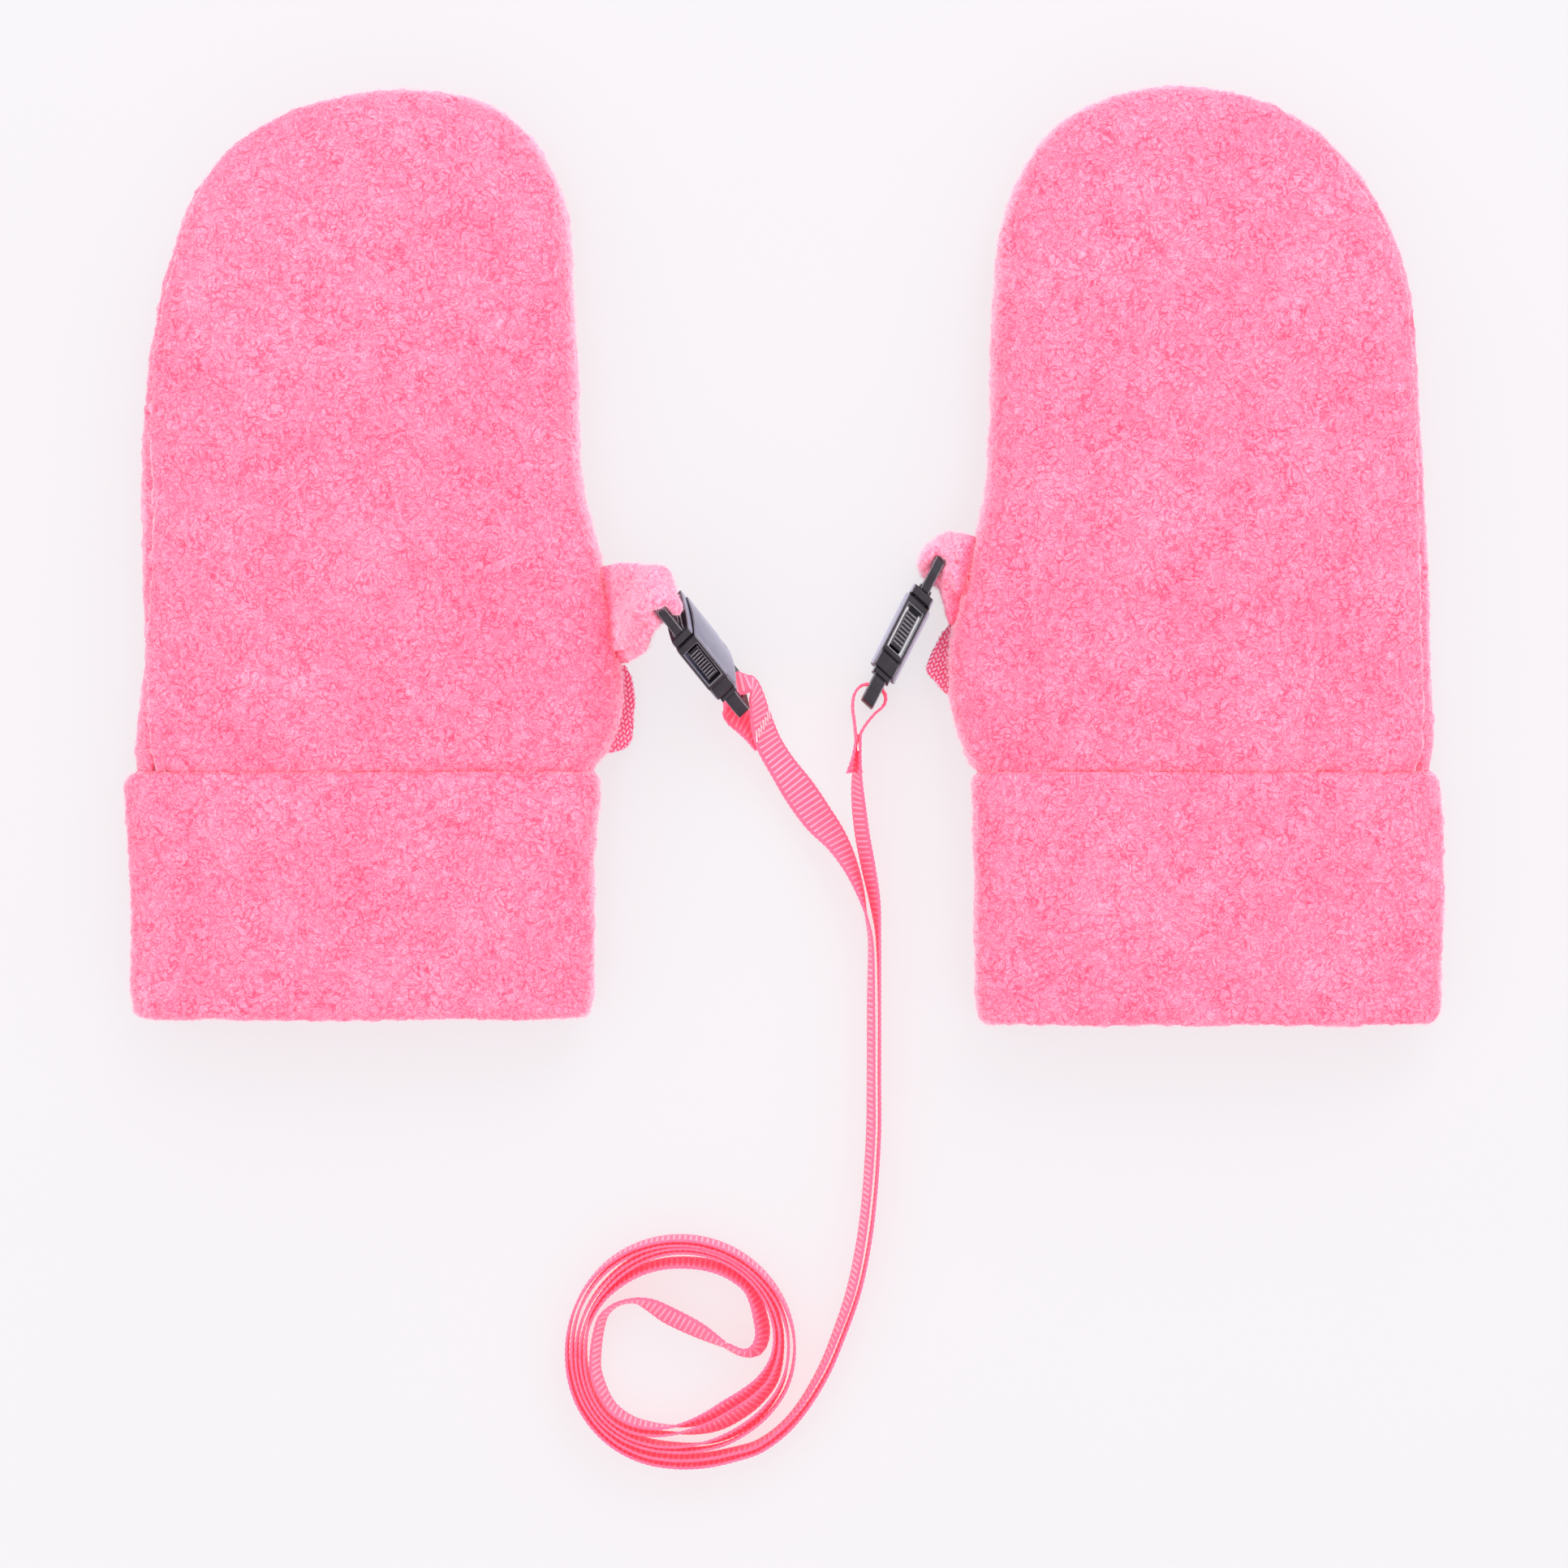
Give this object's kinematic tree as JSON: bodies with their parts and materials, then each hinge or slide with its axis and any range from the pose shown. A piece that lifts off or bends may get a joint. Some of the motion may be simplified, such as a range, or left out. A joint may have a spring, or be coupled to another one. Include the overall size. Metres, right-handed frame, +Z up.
{
  "type": "pair of baby mittens",
  "caption": "Pair of thumbless fleece baby mittens with folded cuffs, joined by a coiled ribbon string that has a small side-release clip at each mitten.",
  "frame": {"origin": "centre of the mittens' bounding box at the surface they lie on, measured without the string", "axes": "+X from the left mitten to the right one, +Y from the cuffs to the fingertips, +Z up from the surface"},
  "size_m": [0.2114, 0.2218, 0.0247],
  "materials": {
    "fleece": "soft pink fleece with a short nap",
    "knitted_tape": "matt rose knitted tape",
    "clip_plastic": "charcoal moulded plastic, glossy broad faces and satin sides",
    "grosgrain": "pink ribbed ribbon with a faint sheen"
  },
  "bodies": {
    "root": {"left_hand_front": "fleece", "left_hand_back": "fleece", "left_cuff": "fleece", "left_fleece_loop": "fleece", "left_seam_tape": "knitted_tape", "left_clip_plug": "clip_plastic", "left_clip_socket": "clip_plastic", "right_hand_front": "fleece", "right_hand_back": "fleece", "right_cuff": "fleece", "right_fleece_loop": "fleece", "right_seam_tape": "knitted_tape", "right_clip_plug": "clip_plastic", "right_clip_socket": "clip_plastic", "string_left": "grosgrain", "string_right": "grosgrain", "string_middle": "grosgrain", "string_coil": "grosgrain"}
  },
  "joints": []
}
